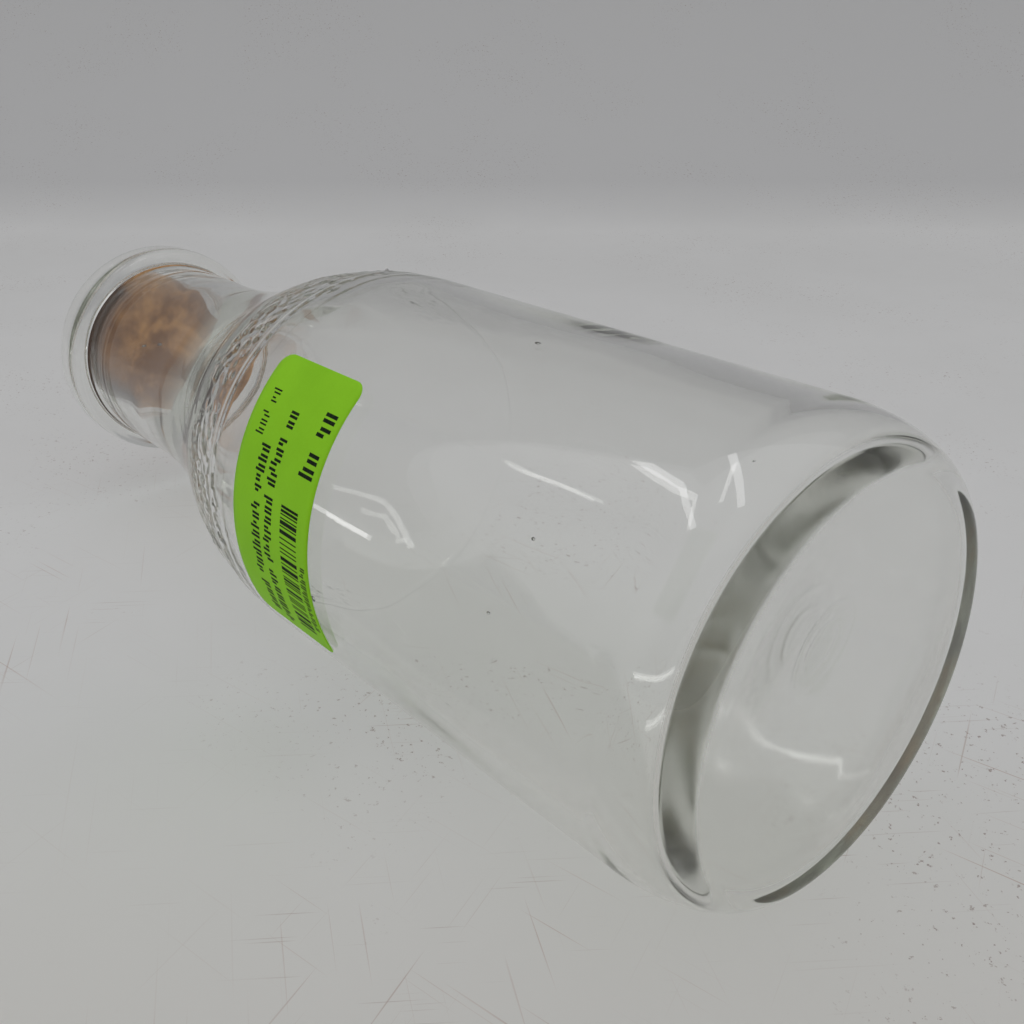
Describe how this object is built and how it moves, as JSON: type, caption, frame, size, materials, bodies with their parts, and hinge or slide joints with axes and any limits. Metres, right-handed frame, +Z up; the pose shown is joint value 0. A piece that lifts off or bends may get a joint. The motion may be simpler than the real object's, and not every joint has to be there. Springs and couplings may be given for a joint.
{
  "type": "milk bottle",
  "caption": "Round clear glass milk bottle with a waxed paper disc cap, a folding pull tab and an adhesive price label.",
  "frame": {"origin": "centre of the standing ring on the surface the bottle stands on", "axes": "+Z up the bottle's axis to the mouth, -Y through the middle of the label, +X where the cap's pull tab points"},
  "size_m": [0.0802, 0.0803, 0.2286],
  "materials": {
    "glass": "clear polished glass with a faint grey-green tint",
    "cap_board": "waxed brown board",
    "tab_paper": "matt kraft paper",
    "staple_wire": "drawn wire",
    "label_paper": "matt fluorescent green label stock"
  },
  "bodies": {
    "bottle": {"glass_bottle": "glass", "price_label": "label_paper"},
    "cap": {"cap_disc": "cap_board", "tab_foot": "tab_paper", "tab_staple": "staple_wire"},
    "tab": {"tab_flap": "tab_paper"}
  },
  "joints": [
    {"name": "cap_lift", "type": "slide", "parent": "bottle", "child": "cap", "axis": [0, 0, 1], "range_m": [0, 0.06]},
    {"name": "tab_fold", "type": "hinge", "parent": "cap", "child": "tab", "pos_m": [0.003, 0, 0.22255], "axis": [0, -1, 0], "range_deg": [0, 120]}
  ]
}
